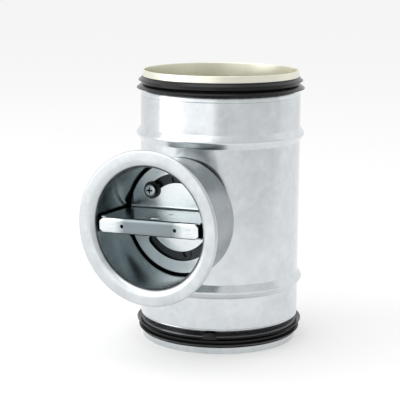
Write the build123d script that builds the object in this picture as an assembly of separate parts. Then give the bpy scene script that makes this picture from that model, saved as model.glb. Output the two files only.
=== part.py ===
"""Volume control damper for a round ventilation duct, nominal size 125.

A beaded and hemmed steel duct body carries a turning blade on a shaft.  A flared
insulation collar stands on its side, and a slotted handle inside the collar turns
the shaft.  A cross-recessed screw through the handle's slot locks the setting.

Frame, in millimetres: Z is the duct axis with Z = 0 at the lower end, and the
collar faces -Y.  Parts on the shaft axis are made in a local frame: x as X, y as
Z, and z outward along -Y from the duct axis.
"""

import os
from math import cos, radians, sin

from build123d import *

# ---------------------------------------------------------------- driving sizes

# Duct body
duct_radius = 62.3
duct_height = 212.0
duct_sheet = 0.7
shoulder_step = 2.0
hem_length = 5.0
gasket_seat_end = 14.4
shoulder_end = 19.3
crease_depth = 0.3
bead_centre = 49.0
bead_half_width = 5.2
bead_height = 3.7
bead_tip_radius = 1.6
bead_root_radius = 1.2
shoulder_radius = 2.0

# Lip gaskets
gasket_base = 1.3
gasket_end_gap = 0.2
inner_lip_start = 0.6
outer_lip_start = 5.4
lip_root = 1.7
lip_tip = 0.6
inner_lip_height = 3.7
outer_lip_height = 5.1
inner_lip_lean = 2.2
outer_lip_lean = 3.3

# Insulation collar
collar_sheet = 0.8
collar_outer_radius = 45.2
collar_rim_radius = 57.2
collar_depth = 53.4
collar_corner = 3.0
collar_flare = 5.2
collar_edge_return = 1.6
collar_edge_corner = 0.8
collar_gap = 0.3
seal_pad_radius = 18.0

# Shaft and its bushes
shaft_radius = 5.0
shaft_square = 7.0
shaft_stub_radius = 2.5
shaft_tail = 1.8
shaft_chamfer = 0.5
running_clearance = 0.05
fit_clearance = 0.1
bush_wall = 1.95
bush_flange_radius = 9.5
bush_flange = 1.4
bush_stand = 0.4
rear_bush_stand = 2.2

# Handle, one bent sheet with two slotted half-disc flanges
handle_sheet = 1.0
handle_disc_radius = 42.4
handle_flange_half_width = 39.0
handle_half_width = 41.0
handle_half_height = 6.0
handle_reach = 46.9
handle_bend = 1.6
handle_corner_length = 4.0
handle_corner_height = 3.0
handle_corner_depth = 3.5
handle_hole_radius = 1.4
handle_hole_offset = 22.0
slot_circle = 29.7
slot_width = 7.4
slot_half_angle = 51.0
rest_turn = 2.0

# Drive plate and shaft fasteners
drive_plate = 1.5
drive_plate_radius = 24.0
thrust_gap = 0.3
shaft_nut_flats = 8.0
shaft_nut_height = 4.0
shaft_washer_radius = 4.6
shaft_washer = 1.0
thread_overrun = 1.2

# Blade and what holds it to the shaft
blade_gap = 0.6
blade_sheet = 1.0
blade_end_gap = 0.5
clamp_sheet = 1.5
clamp_width = 16.0
clamp_offset = 30.0
clamp_foot = 10.0
blade_screw_radius = 2.0
blade_screw_head_radius = 4.0
blade_screw_head = 2.4
blade_nut_flats = 7.0
blade_nut_height = 3.2
blade_screw_overrun = 0.8

# Rear washer and retaining clip
rear_washer_radius = 9.0
rear_washer = 1.2
rear_play = 0.2
clip_radius = 8.0
clip_thickness = 0.9
clip_groove_depth = 0.8
clip_side_gap = 0.05
clip_opening = 6.0

# Lock screw set
lock_angle = 140.0
lock_thread_radius = 2.5
lock_hole_clearance = 0.2
lock_nut_flats = 8.0
lock_nut_height = 2.7
lock_spacer_radius = 5.0
lock_spacer_gap = 0.2
lock_washer_radius = 6.5
lock_washer = 1.2
lock_washer_gap = 0.3
lock_head_radius = 4.9
lock_head = 3.3
lock_head_round = 1.5
recess_length = 5.0
recess_width = 1.2
recess_depth = 2.0
recess_taper = 12.0

# Tubular rivets that fix the collar to the duct
rivet_circle = 28.4
rivet_angles = (-80.0, 100.0)
rivet_radius = 3.2
rivet_bore = 2.6
rivet_head_radius = 4.0
rivet_head = 0.8
rivet_floor = 1.5

# ---------------------------------------------------------------- worked-out sizes

axis_height = duct_height / 2
spigot_radius = duct_radius - shoulder_step
duct_inner = duct_radius - duct_sheet
collar_back = duct_radius + collar_gap
collar_floor = collar_back + collar_sheet
bush_radius = shaft_radius + running_clearance + bush_wall
bush_hole = bush_radius + fit_clearance
drive_back = collar_floor + bush_stand + thrust_gap
flange_back = drive_back + drive_plate
flange_front = flange_back + handle_sheet
handle_face = flange_back + handle_reach
lock_washer_back = flange_front + lock_washer_gap
lock_hole = lock_thread_radius + lock_hole_clearance
blade_radius = duct_inner - blade_gap
blade_channel = shaft_radius + fit_clearance
rear_bush_end = duct_radius + rear_bush_stand
rear_washer_front = rear_bush_end + rear_play
clip_front = rear_washer_front + rear_washer
shaft_rear = clip_front + clip_thickness + 2 * clip_side_gap + shaft_tail
overlap_cut = 1.0
on_base = (Align.CENTER, Align.CENTER, Align.MIN)

shaft_frame = Plane(origin=(0, 0, axis_height), x_dir=(1, 0, 0), z_dir=(0, -1, 0)).location
rear_frame = Plane(origin=(0, 0, axis_height), x_dir=(-1, 0, 0), z_dir=(0, 1, 0)).location
rotor_frame = shaft_frame * Rot(Z=rest_turn)


# ---------------------------------------------------------------- helpers

def bar(radius, start, end):
    """Round bar along local z from start to end."""
    return Pos(0, 0, start) * Cylinder(radius, end - start, align=on_base)


def ring(inner, outer, start, end):
    """Round ring along local z from start to end."""
    return bar(outer, start, end) - bar(inner, start - overlap_cut, end + overlap_cut)


def hex_nut(flats, bore, start, end):
    """Hexagon nut along local z from start to end."""
    outline = RegularPolygon(flats / 2, 6, major_radius=False)
    return Pos(0, 0, start) * extrude(outline, end - start) - bar(bore, start - overlap_cut, end + overlap_cut)


def duct_skin(inner, outer):
    """Tube of the duct's own curvature, seen from the shaft frame."""
    across = Rot(X=90)
    return across * Cylinder(outer, duct_height) - across * Cylinder(inner, duct_height + overlap_cut)


def at_polar(radius, angle):
    """Place on a circle about the shaft axis."""
    return Pos(radius * cos(radians(angle)), radius * sin(radians(angle)), 0)


def sheet_section(outside, outside_radii, inside, inside_radii):
    """Section of a bent sheet between its two filleted faces."""
    near = FilletPolyline(*outside, radius=outside_radii)
    far = FilletPolyline(*inside, radius=inside_radii)
    first = Line(outside[0], inside[0])
    last = Line(outside[-1], inside[-1])
    return make_face(near.edges() + far.edges() + first.edges() + last.edges())


# ---------------------------------------------------------------- duct body

def wall_line(inset):
    """One face of the duct wall, as (radius, height), symmetric about mid height."""
    lower = [
        (spigot_radius - inset, 0),
        (spigot_radius - inset, gasket_seat_end),
        (duct_radius - inset, shoulder_end),
        (duct_radius - inset, bead_centre - bead_half_width),
        (duct_radius + bead_height - inset, bead_centre),
        (duct_radius - inset, bead_centre + bead_half_width),
    ]
    upper = [(radius, duct_height - height) for radius, height in reversed(lower)]
    return lower + upper


def end_ring(inner, outer, start, end):
    """Rings of one rectangular section at both ends of the duct."""
    section = Pos((inner + outer) / 2, (start + end) / 2) * Rectangle(outer - inner, end - start)
    lower = revolve(Plane.XZ * section, Axis.Z)
    return lower, mirror(lower, Plane.XY.offset(axis_height))


def crease(height):
    """Shallow groove where the shoulder meets the body."""
    section = make_face(Polyline(
        (duct_radius - crease_depth, height),
        (duct_radius + crease_depth, height - 2 * crease_depth),
        (duct_radius + crease_depth, height + 2 * crease_depth),
        close=True))
    return revolve(Plane.XZ * section, Axis.Z)


def make_duct_body():
    bends = [shoulder_radius, shoulder_radius, bead_root_radius, bead_tip_radius, bead_root_radius]
    bends = bends + bends[::-1]
    section = sheet_section(wall_line(0), bends, wall_line(duct_sheet), bends)
    body = revolve(Plane.XZ * section, Axis.Z)
    for hem in end_ring(spigot_radius, spigot_radius + duct_sheet, 0, hem_length):
        body += hem
    for height in (shoulder_end + crease_depth, duct_height - shoulder_end - crease_depth):
        body -= crease(height)
    body -= shaft_frame * bar(bush_hole, 0, duct_radius + overlap_cut)
    body -= rear_frame * bar(bush_hole, 0, duct_radius + overlap_cut)
    for angle in rivet_angles:
        body -= shaft_frame * at_polar(rivet_circle, angle) * bar(rivet_radius, 0, duct_radius + overlap_cut)
    return body


def gasket_lip(start, height, lean):
    """Tapered lip that leans away from the duct end."""
    base = spigot_radius + gasket_base
    return make_face(Polyline(
        (base - gasket_base / 2, start),
        (base, start),
        (spigot_radius + height, start + lean - lip_tip / 2),
        (spigot_radius + height, start + lean + lip_tip / 2),
        (base, start + lip_root),
        (base - gasket_base / 2, start + lip_root),
        close=True))


def make_lower_gasket():
    start = hem_length + gasket_end_gap
    length = gasket_seat_end - shoulder_radius / 2 - start
    section = Pos(spigot_radius + gasket_base / 2, start + length / 2) * Rectangle(gasket_base, length)
    section += gasket_lip(start + inner_lip_start, inner_lip_height, inner_lip_lean)
    section += gasket_lip(start + outer_lip_start, outer_lip_height, outer_lip_lean)
    return revolve(Plane.XZ * section, Axis.Z)


# ---------------------------------------------------------------- insulation collar

def collar_line(inset):
    """One face of the collar sheet, as (radius, distance from the duct axis)."""
    wall = collar_outer_radius - inset
    mouth = collar_back + collar_depth - collar_sheet + inset
    edge = collar_rim_radius - collar_sheet + inset
    return [
        (bush_hole, collar_back + inset),
        (wall, collar_back + inset),
        (wall, mouth),
        (edge, mouth),
        (edge, mouth - inset - collar_edge_return),
    ]


def make_collar():
    back_bends = [collar_corner, collar_flare, collar_edge_corner]
    front_bends = [collar_corner - collar_sheet, collar_flare + collar_sheet, collar_edge_corner + collar_sheet]
    section = sheet_section(collar_line(0), back_bends, collar_line(collar_sheet), front_bends)
    collar = revolve(Plane.XZ * section, Axis.Z)
    start = collar_back - overlap_cut
    end = collar_floor + overlap_cut
    collar -= at_polar(slot_circle, lock_angle) * bar(lock_hole, start, end)
    for angle in rivet_angles:
        collar -= at_polar(rivet_circle, angle) * bar(rivet_radius, start, end)
    return shaft_frame * collar


def make_seal_pad():
    pad = ring(bush_hole, seal_pad_radius, duct_radius / 2, collar_back)
    return shaft_frame * (pad - duct_skin(0, duct_radius))


def make_rivet(angle):
    place = at_polar(rivet_circle, angle)
    inner_head = place * bar(rivet_head_radius, duct_radius / 2, duct_radius)
    inner_head &= duct_skin(duct_inner - rivet_head, duct_inner)
    barrel = place * bar(rivet_radius, duct_inner - rivet_head, collar_floor + rivet_head)
    head = place * bar(rivet_head_radius, collar_floor, collar_floor + rivet_head)
    bore = place * bar(rivet_bore, collar_floor + rivet_head - rivet_floor, collar_floor + rivet_head + overlap_cut)
    return shaft_frame * (inner_head + barrel + head - bore)


def make_bush(frame, end):
    """Shaft bush with a saddle flange against the inside of the duct."""
    flange = bar(bush_flange_radius, duct_radius / 2, duct_radius)
    flange &= duct_skin(duct_inner - bush_flange, duct_inner)
    sleeve = bar(bush_radius, duct_inner - bush_flange, end)
    bore = bar(shaft_radius + running_clearance, 0, end + overlap_cut)
    return frame * (flange + sleeve - bore)


# ---------------------------------------------------------------- handle

def handle_line(inset):
    """One face of the hat section, as (height, distance from the duct axis)."""
    web = handle_half_height - inset
    upper = [(handle_disc_radius, flange_front - inset), (web, flange_front - inset), (web, handle_face - inset)]
    return upper + [(-height, reach) for height, reach in reversed(upper)]


def handle_flange_outline():
    """Disc with straight sides that bounds both flanges."""
    disc = Circle(handle_disc_radius)
    return disc & Rectangle(2 * handle_flange_half_width, 2 * handle_disc_radius)


def handle_corners():
    """Wedges that chamfer the four corners of the grip's front face."""
    wedge = make_face(Polyline(
        (handle_half_width - handle_corner_length, handle_half_height),
        (handle_half_width + overlap_cut, handle_half_height + overlap_cut),
        (handle_half_width, handle_half_height - handle_corner_height),
        close=True))
    corner = Pos(0, 0, handle_face - handle_corner_depth) * extrude(wedge, handle_corner_depth + overlap_cut)
    pair = [corner, mirror(corner, Plane.YZ)]
    return pair + [mirror(one, Plane.XZ) for one in pair]


def make_handle():
    root_bends = [handle_bend, handle_bend + handle_sheet, handle_bend + handle_sheet, handle_bend]
    inner_bends = [handle_bend + handle_sheet, handle_bend, handle_bend, handle_bend + handle_sheet]
    section = sheet_section(handle_line(0), root_bends, handle_line(handle_sheet), inner_bends)
    upright = Plane(origin=(0, 0, 0), x_dir=(0, 1, 0), z_dir=(1, 0, 0))
    hat = extrude(upright * section, handle_half_width, both=True)
    flange_band = Pos(0, 0, flange_back - overlap_cut) * extrude(handle_flange_outline(), handle_sheet + overlap_cut)
    grip_height = 2 * (handle_half_height + handle_bend + handle_sheet)
    grip = Pos(0, 0, flange_front) * Box(2 * handle_half_width, grip_height, handle_reach, align=on_base)
    handle = hat & (flange_band + grip)
    for middle in (90, 270):
        arc = CenterArc((0, 0), slot_circle, middle - slot_half_angle, 2 * slot_half_angle)
        handle -= Pos(0, 0, flange_back - overlap_cut) * extrude(SlotArc(arc, slot_width), handle_sheet + 2 * overlap_cut)
    for side in (-1, 1):
        hole = bar(handle_hole_radius, handle_face - handle_sheet - overlap_cut, handle_face + overlap_cut)
        handle -= Pos(side * handle_hole_offset, 0, 0) * hole
    for corner in handle_corners():
        handle -= corner
    return rotor_frame * handle


def make_drive_plate():
    plate = bar(drive_plate_radius, drive_back, flange_back)
    square = shaft_square + 2 * fit_clearance
    return rotor_frame * (plate - Pos(0, 0, flange_back) * Box(square, square, 4 * drive_plate))


# ---------------------------------------------------------------- shaft and its fasteners

def make_shaft():
    shaft = bar(shaft_radius, -shaft_rear, drive_back)
    shaft = chamfer(shaft.edges().group_by(Axis.Z)[0], shaft_chamfer)
    square = Box(shaft_square, shaft_square, drive_plate, align=on_base)
    shaft += Pos(0, 0, drive_back) * square
    shaft += bar(shaft_stub_radius, flange_back, flange_back + shaft_washer + shaft_nut_height + thread_overrun)
    groove_start = -clip_front - clip_thickness - 2 * clip_side_gap
    shaft -= ring(shaft_radius - clip_groove_depth, shaft_radius + overlap_cut, groove_start, -clip_front)
    return rotor_frame * shaft


def make_shaft_washer():
    return rotor_frame * ring(
        shaft_stub_radius + fit_clearance, shaft_washer_radius, flange_back, flange_back + shaft_washer)


def make_shaft_nut():
    seat = flange_back + shaft_washer
    return rotor_frame * hex_nut(shaft_nut_flats, shaft_stub_radius, seat, seat + shaft_nut_height)


def make_rear_washer():
    return rotor_frame * ring(
        shaft_radius + fit_clearance, rear_washer_radius, -rear_washer_front - rear_washer, -rear_washer_front)


def make_clip():
    start = -clip_front - clip_side_gap - clip_thickness
    clip = ring(shaft_radius - clip_groove_depth + clip_side_gap, clip_radius, start, start + clip_thickness)
    gap = Pos(0, -clip_radius, start) * Box(clip_opening, 2 * clip_radius, 4 * clip_thickness)
    return rotor_frame * (clip - gap)


# ---------------------------------------------------------------- blade

def make_blade():
    plate = Box(2 * blade_radius, blade_sheet, 2 * blade_radius)
    channel = blade_channel + blade_sheet
    plate -= Box(2 * blade_channel, 2 * channel, 4 * blade_radius)
    over = ring(blade_channel, channel, -blade_radius, blade_radius)
    over &= Pos(0, channel - blade_sheet / 2, 0) * Box(4 * channel, 2 * channel, 4 * blade_radius)
    disc = Rot(X=90) * Cylinder(blade_radius, 4 * channel)
    half_length = duct_inner - bush_flange - blade_end_gap - bush_flange_sag()
    ends = Box(4 * blade_radius, 4 * channel, 2 * half_length)
    blade = (plate + over) & disc & ends
    for place in blade_screw_places():
        blade -= place * across_blade(blade_screw_radius + fit_clearance, -channel, channel)
    return rotor_frame * blade


def bush_flange_sag():
    """How far the saddle flange curves in towards the duct axis at its edge."""
    inner = duct_inner - bush_flange
    return inner - (inner ** 2 - bush_flange_radius ** 2) ** 0.5


def across_blade(radius, start, end):
    """Round bar square to the blade from start to end above it."""
    return Rot(X=-90) * bar(radius, start, end)


def clamp_span():
    """Distance from the shaft axis to the clamp screws."""
    return blade_channel + clamp_sheet + clamp_foot / 2


def blade_screw_places():
    return [Pos(side * clamp_span(), 0, end * clamp_offset) for end in (-1, 1) for side in (-1, 1)]


def make_clamp(end):
    """Omega strap that holds the shaft up into the blade's channel."""
    top = -blade_sheet / 2
    outer = blade_channel + clamp_sheet
    strap = ring(blade_channel, outer, -clamp_width / 2, clamp_width / 2)
    feet = Pos(0, top - clamp_sheet / 2, 0) * Box(2 * (outer + clamp_foot), clamp_sheet, clamp_width)
    strap += feet - bar(blade_channel, -clamp_width, clamp_width)
    strap &= Pos(0, top - outer, 0) * Box(4 * (outer + clamp_foot), 2 * outer, 2 * clamp_width)
    strap = Pos(0, 0, end * clamp_offset) * strap
    for place in blade_screw_places():
        strap -= place * across_blade(blade_screw_radius + fit_clearance, 4 * top - outer, outer)
    return rotor_frame * strap


def blade_screws():
    """Pan-head screws through blade and clamp, heads above the blade."""
    top = blade_sheet / 2
    foot = top + clamp_sheet
    tip = foot + blade_nut_height + blade_screw_overrun
    screws = []
    for place in blade_screw_places():
        head = across_blade(blade_screw_head_radius, -top - blade_screw_head, -top)
        screws.append(rotor_frame * place * Rot(Z=180) * (head + across_blade(blade_screw_radius, -top, tip)))
    return screws


def blade_nuts():
    foot = blade_sheet / 2 + clamp_sheet
    nut = Rot(X=90) * hex_nut(blade_nut_flats, blade_screw_radius, foot, foot + blade_nut_height)
    return [rotor_frame * place * nut for place in blade_screw_places()]


# ---------------------------------------------------------------- lock screw set

def make_lock_nut():
    nut = hex_nut(lock_nut_flats, lock_thread_radius + running_clearance, collar_back - lock_nut_height, collar_back)
    return shaft_frame * at_polar(slot_circle, lock_angle) * nut


def make_lock_spacer():
    spacer = ring(lock_hole, lock_spacer_radius, collar_floor, flange_back - lock_spacer_gap)
    return shaft_frame * at_polar(slot_circle, lock_angle) * spacer


def make_lock_washer():
    washer = ring(lock_hole, lock_washer_radius, lock_washer_back, lock_washer_back + lock_washer)
    return shaft_frame * at_polar(slot_circle, lock_angle) * washer


def make_lock_screw():
    seat = lock_washer_back + lock_washer
    head = bar(lock_head_radius, seat, seat + lock_head)
    head = fillet(head.edges().group_by(Axis.Z)[-1], lock_head_round)
    cross = Rectangle(recess_length, recess_width) + Rectangle(recess_width, recess_length)
    head -= Pos(0, 0, seat + lock_head) * extrude(cross, -recess_depth, taper=recess_taper)
    screw = head + bar(lock_thread_radius, collar_back - lock_nut_height, seat)
    return shaft_frame * at_polar(slot_circle, lock_angle) * screw


# ---------------------------------------------------------------- all nodes

def build_nodes():
    lower_gasket = make_lower_gasket()
    return {
        "duct_body": make_duct_body(),
        "lower_lip_gasket": lower_gasket,
        "upper_lip_gasket": mirror(lower_gasket, Plane.XY.offset(axis_height)),
        "insulation_collar": make_collar(),
        "collar_seal_pad": make_seal_pad(),
        "collar_rivets": Compound(children=[make_rivet(angle) for angle in rivet_angles]),
        "front_bush": make_bush(shaft_frame, collar_floor + bush_stand),
        "rear_bush": make_bush(rear_frame, rear_bush_end),
        "lock_nut": make_lock_nut(),
        "lock_spacer": make_lock_spacer(),
        "handle": make_handle(),
        "drive_plate": make_drive_plate(),
        "shaft": make_shaft(),
        "shaft_washer": make_shaft_washer(),
        "shaft_nut": make_shaft_nut(),
        "blade_plate": make_blade(),
        "front_blade_clamp": make_clamp(1),
        "rear_blade_clamp": make_clamp(-1),
        "blade_screws": Compound(children=blade_screws()),
        "blade_nuts": Compound(children=blade_nuts()),
        "rear_washer": make_rear_washer(),
        "retaining_clip": make_clip(),
        "lock_washer": make_lock_washer(),
        "lock_screw": make_lock_screw(),
    }


os.makedirs("parts", exist_ok=True)
for node, shape in build_nodes().items():
    export_step(shape, f"parts/{node}.step")
    print(node, round(shape.volume, 1))
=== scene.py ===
# %% [markdown]
# # A volume control damper for a round duct
#
# The real object is a short galvanised steel duct with a rubber lip gasket at each
# end and a flared collar on its side.  A slotted handle inside the collar turns a
# blade in the duct, and a screw locks it.  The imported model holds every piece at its
# true size.  This lesson gives the pieces their finish, replaces the big sheet-metal
# shells by smooth spun ones, and adds a few small details.

from math import cos, pi, radians, sin, tan

import bpy
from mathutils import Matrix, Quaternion, Vector


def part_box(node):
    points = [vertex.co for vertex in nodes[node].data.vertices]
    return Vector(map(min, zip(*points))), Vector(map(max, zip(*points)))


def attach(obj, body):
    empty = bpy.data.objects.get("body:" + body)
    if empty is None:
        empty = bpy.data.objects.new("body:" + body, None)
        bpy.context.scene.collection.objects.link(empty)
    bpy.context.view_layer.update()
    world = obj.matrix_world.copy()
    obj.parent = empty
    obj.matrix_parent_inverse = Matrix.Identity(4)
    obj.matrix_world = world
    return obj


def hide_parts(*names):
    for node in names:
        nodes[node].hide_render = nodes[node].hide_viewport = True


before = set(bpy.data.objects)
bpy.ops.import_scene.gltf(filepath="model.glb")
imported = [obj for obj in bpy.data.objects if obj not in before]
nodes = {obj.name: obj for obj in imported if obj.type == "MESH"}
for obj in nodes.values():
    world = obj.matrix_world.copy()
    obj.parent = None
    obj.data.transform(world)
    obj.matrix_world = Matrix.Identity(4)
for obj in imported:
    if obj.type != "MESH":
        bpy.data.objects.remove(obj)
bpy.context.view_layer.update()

# %% [markdown]
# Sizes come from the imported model's own boxes where a box can tell them, so a piece
# that is made here sits where the model has it.  Three numbers are used throughout:
# one millimetre, the duct's height, and the height of the shaft axis.

# %% Shared measures
mm = 0.001
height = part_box("duct_body")[1].z
collar_low, collar_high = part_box("insulation_collar")
axis_z = height / 2
print("height", round(height, 4), "shaft axis at", round(axis_z, 4))

# %% [markdown]
# A camera placed by three plain facts, its bearing round the object, its distance and
# its height, is easier to correct than one placed by coordinates.  The lens is long,
# as in product pictures, so that the duct's sides stay nearly parallel.

# %% Camera
def make_camera(bearing, distance, camera_height, down, aside, roll, lens):
    """Camera at a bearing round the duct, looking down and a little aside."""
    place = (distance * sin(bearing), -distance * cos(bearing), camera_height)
    bpy.ops.object.camera_add(location=place)
    camera = bpy.context.object
    heading = bearing + aside
    forward = Vector((-sin(heading) * cos(down), cos(heading) * cos(down), -sin(down)))
    turn = forward.to_track_quat("-Z", "Y") @ Quaternion((0, 0, 1), roll)
    camera.rotation_euler = turn.to_euler()
    camera.data.lens = lens
    camera.data.sensor_width = 36
    camera.data.clip_start = 0.01
    return camera


bpy.ops.object.select_all(action="DESELECT")
camera = make_camera(bearing=radians(27.262), distance=1.0195, camera_height=0.3041,
                     down=radians(10.883), aside=radians(0.880), roll=radians(0.336), lens=117.87)
bpy.context.scene.camera = camera
bpy.context.scene.view_settings.view_transform = "Standard"
print("camera at", [round(v, 3) for v in camera.location])


# %% [markdown]
# Every finish below is a small graph of nodes.  Colours are easiest to pick as hex
# values, as a paint chart gives them, but Blender's sockets want linear light, so one
# function converts them.  A second small function adds a node, sets it and links it.

# %% Helpers for materials
def linear(hex_colour):
    """Linear RGBA from an sRGB hex colour."""
    parts = [int(hex_colour[i:i + 2], 16) / 255 for i in (0, 2, 4)]
    return [c / 12.92 if c <= 0.04045 else ((c + 0.055) / 1.055) ** 2.4 for c in parts] + [1.0]


def add_node(tree, kind, settings=None, links=None):
    """Add a node, set its properties and sockets, and link its inputs."""
    node = tree.nodes.new(kind)
    for key, value in (settings or {}).items():
        if isinstance(key, int) or key in node.inputs:
            node.inputs[key].default_value = value
        else:
            setattr(node, key, value)
    for key, source in (links or {}).items():
        tree.links.new(source, node.inputs[key])
    return node


def new_material(name):
    """Material with only its output node left, and the tree to fill."""
    material = bpy.data.materials.new(name)
    material.use_nodes = True
    tree = material.node_tree
    tree.nodes.clear()
    return material, tree


def finish_surface(tree, shader):
    """Link a shader to the material's output."""
    add_node(tree, "ShaderNodeOutputMaterial", links={"Surface": shader.outputs[0]})


# %% [markdown]
# The handle is bent from one sheet, yet its parts look unlike each other: the discs
# bright, the web between them and the grip duller, and the middle of the grip dullest.
# The darker tones of the web and the grip are painted shade, chosen for that look under
# this light: they stand in for what each part mirrors, and the zinc doesn't differ.
# A point's own place on the handle chooses its tone.

# %% Painted shade on the handle
web_start = -73.5 * mm
web_full = -75 * mm
grip_ends = 29 * mm
grip_middle = 20 * mm


def handle_painted_shade(tree, place, tone, grip_face):
    """Paint shade on the handle's web, and on the middle of its grip where Y is below grip_face."""
    where = add_node(tree, "ShaderNodeSeparateXYZ", links={0: place})
    aside = add_node(tree, "ShaderNodeMath", {"operation": "ABSOLUTE"}, {0: where.outputs["X"]})
    grip = add_node(tree, "ShaderNodeMapRange",
                    {"From Min": grip_face + 1 * mm, "From Max": grip_face},
                    {0: where.outputs["Y"]})
    inner = add_node(tree, "ShaderNodeMapRange",
                     {"From Min": grip_ends, "From Max": grip_middle, "To Max": 0.85},
                     {0: aside.outputs[0]})
    grip_painted_shade = add_node(tree, "ShaderNodeMath", {"operation": "MULTIPLY"},
                       {0: grip.outputs[0], 1: inner.outputs[0]})
    web = add_node(tree, "ShaderNodeMapRange",
                   {"From Min": web_start, "From Max": web_full, "To Max": 0.75},
                   {0: where.outputs["Y"]})
    behind = add_node(tree, "ShaderNodeMath", {"operation": "SUBTRACT"},
                      {0: web.outputs[0], 1: grip.outputs[0]})
    # Painted shade: the web, and then the middle of the grip, take darker colours.
    tone = add_node(tree, "ShaderNodeMix", {"data_type": "RGBA", 7: linear("96A2A4")},
                    {0: behind.outputs[0], 6: tone.outputs[2]})
    return add_node(tree, "ShaderNodeMix", {"data_type": "RGBA", 7: linear("69757A")},
                    {0: grip_painted_shade.outputs[0], 6: tone.outputs[2]})


# %% [markdown]
# Hot-dip galvanised sheet is steel with a skin of zinc.  Minimised-spangle sheet looks
# like calm satin silver, with faint cloudy crystals a few millimetres across.  Metal
# takes all its brightness from what it mirrors, so its roughness matters more than
# its colour, and the clouds show mostly as small changes of roughness.

# %% Galvanised sheet
relief_depth = 0.1 * mm


def galvanised_sheet(name, dark, light, roughness, spangle_mm, bump, grip_face=None):
    """Zinc-coated steel with faint crystals, and the handle's painted shade where grip_face is
    given.
    """
    material, tree = new_material(name)
    place = add_node(tree, "ShaderNodeTexCoord").outputs["Object"]
    cells = add_node(tree, "ShaderNodeTexVoronoi", {"Scale": 1000 / spangle_mm}, {"Vector": place})
    cloud = add_node(tree, "ShaderNodeTexNoise", {"Scale": 300 / spangle_mm, "Detail": 3.0},
                     {"Vector": place})
    grey = add_node(tree, "ShaderNodeRGBToBW", links={0: cells.outputs["Color"]})
    mixed = add_node(tree, "ShaderNodeMath", {"operation": "MULTIPLY_ADD", 1: 0.3},
                     {0: grey.outputs[0], 2: cloud.outputs[0]})
    rough = add_node(tree, "ShaderNodeMapRange",
                     {"From Min": 0.3, "From Max": 1.0,
                      "To Min": roughness - 0.03, "To Max": roughness + 0.04},
                     {0: mixed.outputs[0]})
    tone = add_node(tree, "ShaderNodeMix", {"data_type": "RGBA", 6: linear(dark), 7: linear(light)},
                    {0: mixed.outputs[0]})
    if grip_face is not None:
        tone = handle_painted_shade(tree, place, tone, grip_face)
    relief = add_node(tree, "ShaderNodeBump", {"Strength": bump, "Distance": relief_depth},
                      {"Height": cloud.outputs[0]})
    shader = add_node(tree, "ShaderNodeBsdfPrincipled", {"Metallic": 1.0},
                      {"Base Color": tone.outputs[2], "Roughness": rough.outputs[0],
                       "Normal": relief.outputs[0]})
    finish_surface(tree, shader)
    return material


duct_zinc = galvanised_sheet("duct galvanised sheet", "C2C7CA", "DCE0E2",
                             roughness=0.20, spangle_mm=4.0, bump=0.04)
inside_zinc = galvanised_sheet("duct inside zinc", "E2E1CE", "EEEDDF",
                               roughness=0.34, spangle_mm=4.0, bump=0.04)
collar_zinc = galvanised_sheet("collar galvanised sheet", "B6BBBE", "D0D4D6",
                               roughness=0.30, spangle_mm=4.0, bump=0.02)
# The collar's wall, inside and floor tones are painted shade, darker than its mouth.
collar_wall_painted_shade = galvanised_sheet("collar wall painted shade", "8A9295", "A3A9AC",
                                    roughness=0.24, spangle_mm=4.0, bump=0.015)
collar_inside_painted_shade = galvanised_sheet("collar inside painted shade", "7C878B", "949EA1",
                                      roughness=0.20, spangle_mm=4.0, bump=0.015)
collar_floor_painted_shade = galvanised_sheet("collar floor painted shade", "2C2F31", "44484A",
                                     roughness=0.30, spangle_mm=4.0, bump=0.02)
grip_front = -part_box("handle")[0].y
handle_zinc = galvanised_sheet("handle galvanised sheet", "D2D9DB", "E4E9EB",
                               roughness=0.20, spangle_mm=3.0, bump=0.03,
                               grip_face=1.5 * mm - grip_front)
dash_zinc = galvanised_sheet("pressed zinc", "B8C0C2", "D0D6D8",
                             roughness=0.20, spangle_mm=3.0, bump=0.06)
print("sheet finishes", duct_zinc.name, collar_zinc.name, handle_zinc.name)

# %% [markdown]
# The fasteners are zinc plated: a thin, bright, slightly blue coat on turned steel.
# The lock screw is painted dark from a little behind its face, as painted shade in its
# cross recess, so that the recess reads as deep.  The gaskets are EPDM rubber, extruded
# and black, with a soft sheen along the lips.  The bushes are black nylon.  The washer
# under the lock screw is blackened steel.

# %% Small finishes
def plated_steel(name, colour, roughness, face=None):
    """Turned steel with a thin bright coat, and painted shade where Y is above face."""
    material, tree = new_material(name)
    place = add_node(tree, "ShaderNodeTexCoord").outputs["Object"]
    grain = add_node(tree, "ShaderNodeTexNoise", {"Scale": 900.0, "Detail": 3.0}, {"Vector": place})
    rough = add_node(tree, "ShaderNodeMapRange",
                     {"To Min": roughness - 0.05, "To Max": roughness + 0.08},
                     {"Value": grain.outputs["Fac"]})
    shader = add_node(tree, "ShaderNodeBsdfPrincipled",
                      {"Metallic": 1.0, "Base Color": linear(colour)},
                      {"Roughness": rough.outputs[0]})
    # Painted shade: from a little behind the face the colour turns dark, so a recess reads as deep.
    if face is not None:
        where = add_node(tree, "ShaderNodeSeparateXYZ", links={0: place})
        depth = add_node(tree, "ShaderNodeMapRange",
                         {"From Min": face, "From Max": face + 0.4 * mm},
                         {0: where.outputs["Y"]})
        tone = add_node(tree, "ShaderNodeMix",
                        {"data_type": "RGBA", 6: linear(colour), 7: linear("1B1D1E")},
                        {0: depth.outputs[0]})
        tree.links.new(tone.outputs[2], shader.inputs["Base Color"])
    finish_surface(tree, shader)
    return material


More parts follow.
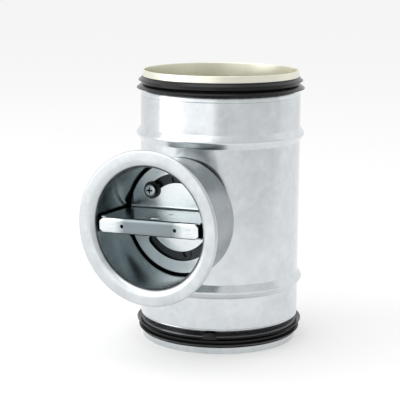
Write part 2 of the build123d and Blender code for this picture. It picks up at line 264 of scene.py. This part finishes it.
def dull_polymer(name, colour, roughness, grain_mm, strength, sheen=0.5):
    """Moulded or extruded polymer with a fine grain of the given size."""
    material, tree = new_material(name)
    place = add_node(tree, "ShaderNodeTexCoord").outputs["Object"]
    grain = add_node(tree, "ShaderNodeTexNoise", {"Scale": 1000 / grain_mm, "Detail": 5.0},
                     {"Vector": place})
    relief = add_node(tree, "ShaderNodeBump", {"Strength": strength, "Distance": relief_depth},
                      {"Height": grain.outputs["Fac"]})
    rough = add_node(tree, "ShaderNodeMapRange",
                     {"To Min": roughness - 0.08, "To Max": roughness + 0.08},
                     {"Value": grain.outputs["Fac"]})
    shader = add_node(tree, "ShaderNodeBsdfPrincipled",
                      {"Base Color": linear(colour), "IOR": 1.5, "Specular IOR Level": sheen},
                      {"Roughness": rough.outputs[0], "Normal": relief.outputs[0]})
    finish_surface(tree, shader)
    return material


zinc_plate = plated_steel("bright zinc plate", "D3D6DA", roughness=0.25)
screw_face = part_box("lock_screw")[0].y
screw_plate_and_recess_shade = plated_steel("screw zinc plate and painted recess shade", "BCC1C4", roughness=0.22, face=screw_face + 0.9 * mm)
print("screw face at", round(screw_face, 4))
black_oxide = plated_steel("blackened steel", "3A3B3D", roughness=0.35)
epdm = dull_polymer("EPDM rubber", "0A0B0C", roughness=0.24, grain_mm=1.5, strength=0.08, sheen=0.3)
nylon = dull_polymer("black nylon", "202124", roughness=0.4, grain_mm=0.8, strength=0.2)
foam_rubber = dull_polymer("cellular rubber", "2B2C2E", roughness=0.8, grain_mm=0.5, strength=0.8)
print("small finishes", zinc_plate.name, epdm.name)


# %% [markdown]
# The imported model's own pieces keep their meshes, and each has its plain colour
# exchanged for one of the finishes.  The rivets take the painted shade of the collar's
# floor, where they sit in shade behind the handle.

# %% Dress the model's own pieces
def dress(material, *names):
    """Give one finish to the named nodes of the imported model."""
    for name in names:
        nodes[name].data.materials.clear()
        nodes[name].data.materials.append(material)
    print(material.name, "on", len(names), "nodes")


dress(duct_zinc, "duct_body", "blade_plate", "front_blade_clamp", "rear_blade_clamp")
dress(collar_zinc, "insulation_collar")
dress(handle_zinc, "handle", "drive_plate")
dress(zinc_plate, "shaft", "shaft_washer", "shaft_nut", "blade_screws", "blade_nuts", "rear_washer",
      "retaining_clip", "lock_nut", "lock_spacer")
dress(screw_plate_and_recess_shade, "lock_screw")
dress(collar_floor_painted_shade, "collar_rivets")
dress(black_oxide, "lock_washer")
dress(epdm, "lower_lip_gasket", "upper_lip_gasket")
dress(nylon, "front_bush", "rear_bush")
dress(foam_rubber, "collar_seal_pad")


# %% [markdown]
# The duct is one thin sheet rolled into a tube, with beads, shoulders and a folded hem.
# Everything about it is round, so the natural way is to draw half its section once and
# turn it about the axis.  The section is drawn down the middle of the sheet, one vertex
# extruded from the last, turned by a Screw modifier and given its thickness by Solidify.

# %% Helpers for turned sheet
smooth_below = radians(40)


def rounded(points, radii, steps=5):
    """The corners of an open line replaced by arcs of the given radii."""
    line = [Vector(points[0])]
    for before, corner, after, radius in zip(points, points[1:], points[2:], radii):
        corner = Vector(corner)
        back = (Vector(before) - corner).normalized()
        ahead = (Vector(after) - corner).normalized()
        half = back.angle(ahead) / 2
        centre = corner + (back + ahead).normalized() * (radius / sin(half))
        first = corner + back * (radius / tan(half)) - centre
        last = corner + ahead * (radius / tan(half)) - centre
        for step in range(steps + 1):
            share = step / steps
            line.append(centre + (first.lerp(last, share)).normalized() * radius)
    line.append(Vector(points[-1]))
    return line


def draw_line(name, points):
    """A chain of vertices, each extruded from the one before."""
    bpy.ops.object.select_all(action="DESELECT")
    bpy.ops.mesh.primitive_plane_add(size=mm, location=(0, 0, 0))
    piece = bpy.context.object
    piece.name = name
    bpy.ops.object.mode_set(mode="EDIT")
    bpy.ops.mesh.select_all(action="SELECT")
    bpy.ops.mesh.merge(type="CENTER")
    bpy.ops.transform.translate(value=points[0])
    for here, there in zip(points, points[1:]):
        bpy.ops.mesh.extrude_region_move(TRANSFORM_OT_translate={"value": there - here})
    bpy.ops.object.mode_set(mode="OBJECT")
    return piece


def apply_modifier(piece, kind, **settings):
    """Add a modifier to a piece, set it and apply it."""
    bpy.context.view_layer.objects.active = piece
    bpy.ops.object.modifier_add(type=kind)
    modifier = piece.modifiers[-1]
    for key, value in settings.items():
        setattr(modifier, key, value)
    bpy.ops.object.modifier_apply(modifier=modifier.name)


def turned_sheet(name, points, thickness, axis, segments=192):
    """A line turned about an axis through the origin and thickened into sheet."""
    piece = draw_line(name, points)
    apply_modifier(piece, "SCREW", axis=axis, angle=2 * pi, steps=segments, render_steps=segments,
                   use_merge_vertices=True, merge_threshold=mm / 100)
    bpy.ops.object.mode_set(mode="EDIT")
    bpy.ops.mesh.select_all(action="SELECT")
    bpy.ops.mesh.remove_doubles(threshold=mm / 100)
    bpy.ops.mesh.normals_make_consistent(inside=False)
    bpy.ops.object.mode_set(mode="OBJECT")
    apply_modifier(piece, "SOLIDIFY", thickness=thickness, offset=0, use_even_offset=True)
    piece.select_set(True)
    bpy.ops.object.shade_smooth_by_angle(angle=smooth_below)
    print(name, "faces", len(piece.data.polygons))
    return piece


# %% [markdown]
# The duct's hem is folded back on itself, a shoulder steps up to the body behind the
# gasket, a fine crease runs beside it, and a bead stops the next duct.  The upper end
# mirrors the lower.  The inside and the upper hem take a lighter, faintly yellow tone.

# %% Duct shell
duct_sheet = 0.7 * mm
body_radius = 61.95 * mm
spigot_radius = 59.95 * mm
hem_width = 5 * mm
shoulder = (14.4 * mm, 19.2 * mm)
crease = (19.6 * mm, 20.0 * mm)
crease_depth = 0.55 * mm
bead = (43.8 * mm, 49 * mm, 54.2 * mm)
bead_height = 3.7 * mm
duct_bends = [r * mm for r in (0.3, 0.3, 2.0, 0.2, 0.15, 0.2, 1.2, 1.6, 1.2)]
top_hem = 5.2 * mm


def duct_section():
    """Middle of the duct's sheet from one hem to the other."""
    fold = duct_sheet / 2
    lower = [
        (spigot_radius + duct_sheet, hem_width), (spigot_radius + duct_sheet, fold),
        (spigot_radius, fold), (spigot_radius, shoulder[0]), (body_radius, shoulder[1]),
        (body_radius - crease_depth, crease[0]), (body_radius, crease[1]),
        (body_radius, bead[0]), (body_radius + bead_height, bead[1]), (body_radius, bead[2])]
    upper = [(radius, height - level) for radius, level in reversed(lower)]
    section = [Vector((radius, 0, level)) for radius, level in lower + upper]
    return rounded(section, duct_bends + duct_bends[::-1])


duct_shell = turned_sheet("duct_shell", duct_section(), duct_sheet, "Z")
for material in (duct_zinc, inside_zinc):
    duct_shell.data.materials.append(material)
for face in duct_shell.data.polygons:
    outward = face.normal.x * face.center.x + face.normal.y * face.center.y
    on_top_hem = face.center.z > height - top_hem
    face.material_index = 1 if outward < 0 or on_top_hem else 0
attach(duct_shell, "casing")
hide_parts("duct_body")

# %% [markdown]
# The collar is a flat-bottomed cup, pressed and then flared at its mouth.  It is turned
# about the shaft axis, which lies along Y, and lifted to the shaft's height.  Its tones
# are again chosen for the look, as painted shade: the mouth brightest, the wall duller
# outside and inside, and the floor, in shade behind the handle, darkest.

# %% Insulation collar
collar_sheet = 0.8 * mm
collar_back = -collar_high.y
collar_front = -collar_low.y
collar_wall = 44.8 * mm
collar_rim = collar_high.x - collar_sheet / 2
collar_return = 2 * mm
collar_bends = [2.6 * mm, 5.6 * mm, 1.2 * mm]
collar_flare = 6 * mm
bush_hole = 7.1 * mm


def collar_section():
    """Middle of the collar's sheet from the bush hole to the returned edge."""
    floor_level = -collar_back - collar_sheet / 2
    mouth_level = -collar_front + collar_sheet / 2
    corners = [(bush_hole, floor_level), (collar_wall, floor_level), (collar_wall, mouth_level),
               (collar_rim, mouth_level), (collar_rim, mouth_level + collar_return)]
    section = [Vector((radius, level, 0)) for radius, level in corners]
    return rounded(section, collar_bends, steps=8)


collar_shell = turned_sheet("collar_shell", collar_section(), collar_sheet, "Y")
bpy.ops.transform.translate(value=(0, 0, axis_z))
bpy.ops.object.transform_apply(location=True, rotation=True, scale=True)
for material in (collar_zinc, collar_wall_painted_shade, collar_floor_painted_shade, collar_inside_painted_shade):
    collar_shell.data.materials.append(material)
# Painted shade: the wall outside and inside, and the floor, take darker tones than the mouth.
for face in collar_shell.data.polygons:
    reach = -face.center.y
    outward = face.normal.x * face.center.x + face.normal.z * (face.center.z - axis_z)
    if reach < collar_back + 2 * collar_sheet:
        face.material_index = 2
    elif reach < collar_front - collar_flare:
        face.material_index = 1 if outward > 0 else 3
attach(collar_shell, "casing")
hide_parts("insulation_collar")

# %% [markdown]
# The sheets are drilled last, as in the workshop.  The shaft's two bushes sit in holes
# in the duct, two rivets hold the collar to it, and the lock screw passes through the
# collar's floor.  A cylinder subtracted by a Boolean modifier makes each hole.  The
# cylinder is turned a little about its axis, so that none of its edges falls on an
# edge of the sheet, which would leave stray faces.

# %% Holes
cutter_turn = radians(1.3)


def drill(piece, radius, across, level, near, far):
    """A round hole along Y, from near to far, through one piece."""
    bpy.ops.object.select_all(action="DESELECT")
    bpy.ops.mesh.primitive_cylinder_add(vertices=48, radius=radius, depth=far - near,
                                        location=(across, (near + far) / 2, level),
                                        rotation=(pi / 2, cutter_turn, 0))
    cutter = bpy.context.object
    apply_modifier(piece, "BOOLEAN", operation="DIFFERENCE", solver="EXACT", object=cutter)
    bpy.ops.object.select_all(action="DESELECT")
    cutter.select_set(True)
    bpy.ops.object.delete()


rivet_radius = 3.25 * mm
rivet_circle = 28.4 * mm
rivet_angles = (radians(-80), radians(100))
screw_hole = 2.7 * mm
both_walls = (-70 * mm, 70 * mm)
front_wall = (-70 * mm, -30 * mm)
collar_floor = (-66 * mm, -60 * mm)
drill(duct_shell, bush_hole, 0, axis_z, *both_walls)
for angle in rivet_angles:
    across, level = rivet_circle * cos(angle), axis_z + rivet_circle * sin(angle)
    drill(duct_shell, rivet_radius, across, level, *front_wall)
    drill(collar_shell, rivet_radius, across, level, *collar_floor)
screw_low, screw_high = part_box("lock_screw")
drill(collar_shell, screw_hole, (screw_low.x + screw_high.x) / 2,
      (screw_low.z + screw_high.z) / 2, *collar_floor)
for piece in (duct_shell, collar_shell):
    bpy.ops.object.select_all(action="DESELECT")
    piece.select_set(True)
    bpy.context.view_layer.objects.active = piece
    bpy.ops.object.shade_smooth_by_angle(angle=smooth_below)
    print(piece.name, "drilled, faces", len(piece.data.polygons))

# %% [markdown]
# A tongue of rubber covers the joint where the lower gasket's two ends meet.  It is the
# upper half of a ball, cut by bisect and flattened, which stands on the outer lip.

# %% Gasket joint
def round_tongue(name, bearing, radius, level, width, tall, thick):
    """Half of a flattened ball that stands on the gasket like a tongue."""
    bpy.ops.object.select_all(action="DESELECT")
    bpy.ops.mesh.primitive_uv_sphere_add(segments=32, ring_count=16, radius=1)
    tongue = bpy.context.object
    tongue.name = name
    bpy.ops.object.mode_set(mode="EDIT")
    bpy.ops.mesh.select_all(action="SELECT")
    bpy.ops.mesh.bisect(plane_co=(0, 0, 0), plane_no=(0, 0, 1), clear_inner=True, use_fill=True)
    bpy.ops.mesh.select_all(action="SELECT")
    bpy.ops.transform.resize(value=(width / 2, thick, tall), center_override=(0, 0, 0))
    bpy.ops.object.mode_set(mode="OBJECT")
    tongue.location = (radius * sin(bearing), -radius * cos(bearing), level)
    tongue.rotation_euler = (0, 0, bearing)
    bpy.ops.object.transform_apply(location=True, rotation=True, scale=True)
    bpy.ops.object.shade_smooth_by_angle(angle=smooth_below)
    tongue.data.materials.append(epdm)
    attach(tongue, "casing")
    return tongue


gasket_low, gasket_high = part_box("lower_lip_gasket")
print("gasket from", round(gasket_low.z, 4), "to", round(gasket_high.z, 4),
      "radius", round(gasket_high.x, 4))
lip_level = gasket_low.z + 8.7 * mm
tongue = round_tongue("gasket_joint_tongue", bearing=radians(21), radius=64.3 * mm,
                      level=lip_level - 1.2 * mm, width=11.5 * mm, tall=5.2 * mm, thick=1.3 * mm)
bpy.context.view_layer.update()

# %% [markdown]
# Short dashes stand out from the handle's sheet: a pair at each end of the grip, and two
# on its upper web.  Each is a small block with beveled edges, half sunk in the sheet,
# and placed in the handle's own frame, which is turned a little about the shaft.

# %% Pressed dashes on the handle
rest_turn = radians(2)
web_top = 6 * mm


def pressed_dash(name, across, reach, up, size):
    """Small beveled rib on the handle, placed in the handle's own turned frame."""
    bpy.ops.object.select_all(action="DESELECT")
    bpy.ops.mesh.primitive_cube_add(size=1, location=(0, 0, 0))
    dash = bpy.context.object
    dash.name = name
    dash.scale = size
    bpy.ops.object.transform_apply(location=False, rotation=False, scale=True)
    apply_modifier(dash, "BEVEL", width=min(size) * 0.45, segments=3)
    dash.location = (across * cos(rest_turn) - up * sin(rest_turn), -reach,
                     axis_z + across * sin(rest_turn) + up * cos(rest_turn))
    dash.rotation_euler = (0, -rest_turn, 0)
    bpy.ops.object.transform_apply(location=True, rotation=True, scale=True)
    bpy.ops.object.shade_smooth_by_angle(angle=smooth_below)
    dash.data.materials.append(dash_zinc)
    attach(dash, "rotor")
    print(name, "rides on the rotor")


face_dash = (6 * mm, 0.6 * mm, 0.8 * mm)
web_dash = (7 * mm, 3 * mm, 0.6 * mm)
dash_aside = 32 * mm
dash_row = 1.5 * mm
web_dash_aside = 2 * mm
web_dash_reaches = (86 * mm, 104 * mm)
for side, side_name in ((-1, "left"), (1, "right")):
    for row, row_name in ((-1, "low"), (1, "high")):
        pressed_dash(f"grip_dash_{side_name}_{row_name}", side * dash_aside, grip_front,
                     row * dash_row, face_dash)
for number, reach in enumerate(web_dash_reaches):
    pressed_dash(f"web_dash_{number}", web_dash_aside, reach, web_top, web_dash)

# %% [markdown]
# The floor is a matt white sheet that catches a soft shadow.  The room is white where
# the camera or a mirror-like surface looks straight at it, and a little dimmer as a
# light, so that pale sheet metal keeps its shading.

# %% Floor and room
def looked_at(tree):
    """One for a ray from the camera or a mirror-like surface, and nought for any other."""
    path = add_node(tree, "ShaderNodeLightPath")
    mirrored = add_node(tree, "ShaderNodeMath", {"operation": "MAXIMUM"},
                        {0: path.outputs["Is Glossy Ray"], 1: path.outputs["Is Transmission Ray"]})
    return add_node(tree, "ShaderNodeMath", {"operation": "MAXIMUM"},
                    {0: path.outputs["Is Camera Ray"], 1: mirrored.outputs[0]})


def make_floor(size, share):
    """White floor that shows the camera, and mirror-like surfaces, a share of plain white."""
    bpy.ops.object.select_all(action="DESELECT")
    bpy.ops.mesh.primitive_plane_add(size=size, location=(0, 0, 0))
    floor = bpy.context.object
    floor.name = "floor"
    material, tree = new_material("white paper")
    seen = looked_at(tree)
    paper = add_node(tree, "ShaderNodeBsdfDiffuse", {"Color": linear("F8F8F8")})
    glow = add_node(tree, "ShaderNodeEmission", {"Color": (1, 1, 1, 1)},
                    {"Strength": seen.outputs[0]})
    lift = add_node(tree, "ShaderNodeMixShader", {0: share},
                    {1: paper.outputs[0], 2: glow.outputs[0]})
    finish_surface(tree, lift)
    floor.data.materials.append(material)
    return floor


def make_room(strength):
    """World that is white to look at and of the given strength as a light."""
    world = bpy.data.worlds.new("room")
    bpy.context.scene.world = world
    world.use_nodes = True
    tree = world.node_tree
    tree.nodes.clear()
    seen = looked_at(tree)
    lit = add_node(tree, "ShaderNodeBackground", {"Color": (1, 1, 1, 1), "Strength": strength})
    white = add_node(tree, "ShaderNodeBackground", {"Color": (1, 1, 1, 1), "Strength": 1.0})
    mix = add_node(tree, "ShaderNodeMixShader",
                   links={0: seen.outputs[0], 1: lit.outputs[0], 2: white.outputs[0]})
    add_node(tree, "ShaderNodeOutputWorld", links={"Surface": mix.outputs[0]})
    return world


floor = make_floor(size=60, share=0.42)
room = make_room(strength=0.9)
print("stage", floor.name, room.name)


# %% [markdown]
# Bright metal needs something to mirror.  A large soft lamp stands to the left of the
# camera and another hangs above.  Two cards that only mirror-like surfaces see shape the
# duct's two sides: one brighter than white in front on the left, and a pale grey one on
# the right.

# %% Lamps and cards
def add_lamp(name, place, aim, size, power):
    """Square soft lamp that points from its place to its aim."""
    bpy.ops.object.light_add(type="AREA", location=place)
    lamp = bpy.context.object
    lamp.name = name
    lamp.data.size = size
    lamp.data.energy = power
    lamp.rotation_euler = (Vector(aim) - Vector(place)).to_track_quat("-Z", "Y").to_euler()
    return lamp


def add_card(name, bearing, distance, size, strength):
    """Upright pale card that only mirror-like surfaces see."""
    bpy.ops.object.select_all(action="DESELECT")
    place = Vector((distance * sin(bearing), -distance * cos(bearing), size / 2))
    bpy.ops.mesh.primitive_plane_add(size=size, location=place)
    card = bpy.context.object
    card.name = name
    card.rotation_euler = Vector((-place.x, -place.y, 0)).to_track_quat("Z", "Y").to_euler()
    material, tree = new_material(name + " paper")
    shader = add_node(tree, "ShaderNodeEmission", {"Color": (1, 1, 1, 1), "Strength": strength})
    finish_surface(tree, shader)
    card.data.materials.append(material)
    card.visible_camera = False
    card.visible_shadow = False
    card.visible_diffuse = False
    return card


middle = Vector((0, 0, axis_z))
key = add_lamp("left softbox", place=(-1.0, -1.1, 0.7), aim=middle, size=1.5, power=11)
top = add_lamp("top softbox", place=(-0.2, -0.3, 1.5), aim=middle, size=1.2, power=5)
grey_card = add_card("grey card", bearing=radians(70), distance=0.5, size=1.15, strength=0.8)
white_card = add_card("white card", bearing=radians(-5), distance=0.9, size=0.8, strength=1.35)
print("lamps", key.name, top.name, "cards", grey_card.name, white_card.name)
